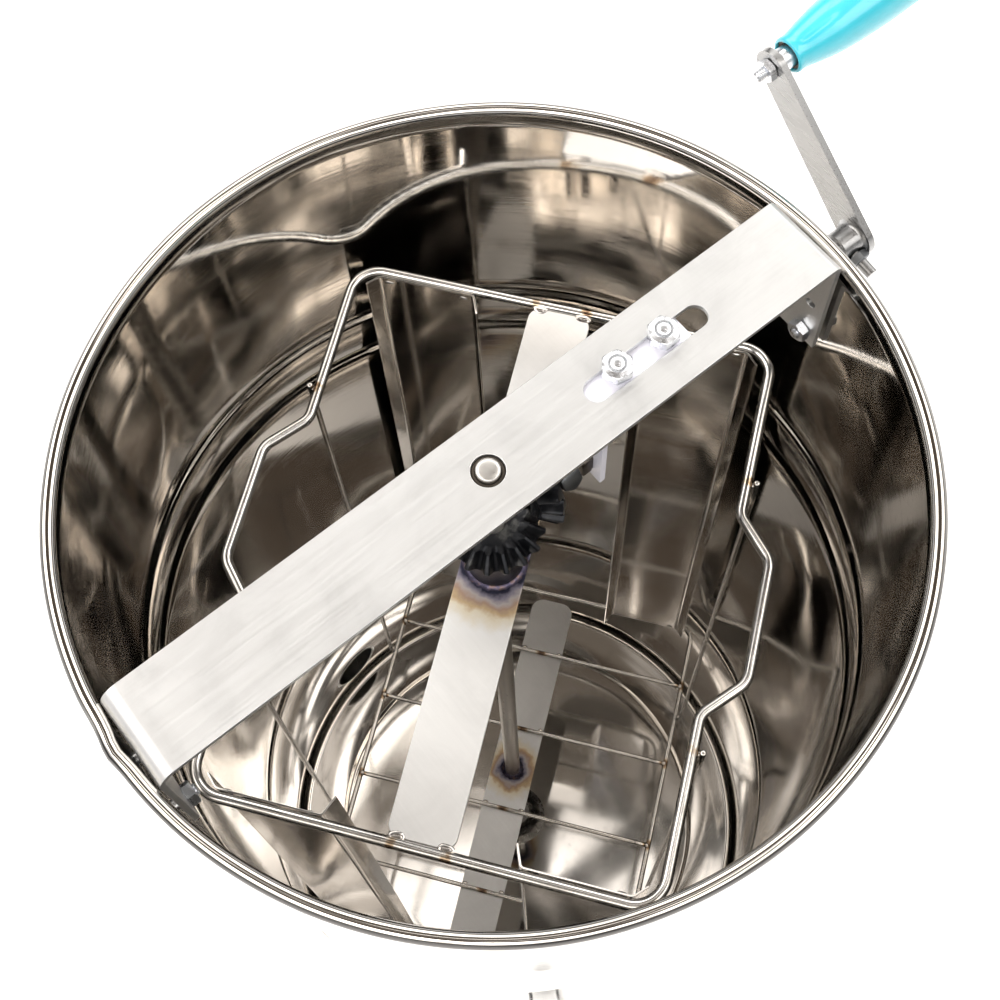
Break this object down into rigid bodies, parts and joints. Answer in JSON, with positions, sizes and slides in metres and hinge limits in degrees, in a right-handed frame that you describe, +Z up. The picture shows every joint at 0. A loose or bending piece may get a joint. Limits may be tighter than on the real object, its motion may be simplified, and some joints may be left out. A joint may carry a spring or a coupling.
{
  "type": "honey extractor",
  "caption": "Tall round drum with a crossbar, a hand crank on bevel gears, an upright rotor cage for comb frames, an outlet gate low on the wall and splayed legs.",
  "frame": {"origin": "centre of the drum floor's flat underside, on the rotor's axis", "axes": "+Z up along the rotor's axis, +X towards the crank along the crank shaft, +Y to the left when looking along +X"},
  "size_m": [0.5332, 0.4758, 1.1236],
  "materials": {
    "polished_stainless": "mirror-polished sheet",
    "brushed_stainless": "fine brushed",
    "bright_wire": "bright drawn wire",
    "zinc_plate": "bright zinc plate",
    "black_cast": "black, oiled",
    "plain_steel": "turned",
    "painted_bracket": "satin grey",
    "white_nylon": "moulded, satin",
    "dark_bush": "dark, satin",
    "turquoise_grip": "glossy",
    "black_rubber": "matte"
  },
  "bodies": {
    "drum_body": {"drum": "polished_stainless", "crossbar": "brushed_stainless", "crossbar_bolt_1": "zinc_plate", "crossbar_bolt_2": "zinc_plate", "crossbar_bolt_3": "zinc_plate", "crossbar_bolt_4": "zinc_plate", "top_bush": "dark_bush", "floor_pivot": "plain_steel", "crank_bracket": "painted_bracket", "bracket_bolt_1": "zinc_plate", "bracket_bolt_2": "zinc_plate", "inner_bush": "dark_bush", "outer_bush": "plain_steel", "gate_stub": "brushed_stainless", "gate_body": "white_nylon", "gate_pivot_bolt": "zinc_plate", "leg_1": "brushed_stainless", "leg_2": "brushed_stainless", "leg_3": "brushed_stainless", "foot_1": "black_rubber", "foot_2": "black_rubber", "foot_3": "black_rubber"},
    "rotor": {"rotor_shaft": "plain_steel", "rotor_gear": "black_cast", "rotor_top_bar": "polished_stainless", "rotor_low_bar": "polished_stainless", "rotor_top_frame": "bright_wire", "rotor_low_frame": "bright_wire", "rotor_rod_1": "bright_wire", "rotor_rod_2": "bright_wire", "rotor_rod_3": "bright_wire", "rotor_rod_4": "bright_wire", "rotor_post_1": "polished_stainless", "rotor_post_2": "polished_stainless", "rotor_post_3": "polished_stainless", "rotor_post_4": "polished_stainless"},
    "crank": {"crank_shaft": "plain_steel", "crank_gear": "black_cast", "gear_set_screw": "plain_steel", "crank_arm": "brushed_stainless", "hub_set_screw": "plain_steel", "handle_bolt": "zinc_plate"},
    "grip": {"handle_grip": "turquoise_grip"},
    "gate_blade_body": {"gate_blade": "white_nylon"},
    "gate_clamp": {"gate_clamp_screw": "zinc_plate"}
  },
  "joints": [
    {"name": "rotor_spin", "type": "hinge", "parent": "drum_body", "child": "rotor", "pos_m": [0, 0, 0.4], "axis": [0, 0, 1], "continuous": true},
    {"name": "crank_spin", "type": "hinge", "parent": "drum_body", "child": "crank", "pos_m": [0.1, 0, 0.735], "axis": [1, 0, 0], "continuous": true},
    {"name": "grip_spin", "type": "hinge", "parent": "crank", "child": "grip", "pos_m": [0.28, 0.06868, 0.7947], "axis": [1, 0, 0], "continuous": true},
    {"name": "gate_swing", "type": "hinge", "parent": "drum_body", "child": "gate_blade_body", "pos_m": [-0.04127, 0.21843, 0.083], "axis": [-0.1857, 0.9826, 0], "range_deg": [0, 110]},
    {"name": "clamp_turn", "type": "hinge", "parent": "drum_body", "child": "gate_clamp", "pos_m": [-0.04122, 0.21814, 0.007], "axis": [-0.1857, 0.9826, 0], "continuous": true}
  ],
  "couplings": [
    {"joint": "crank_spin", "follows": "rotor_spin", "ratio": 1}
  ]
}
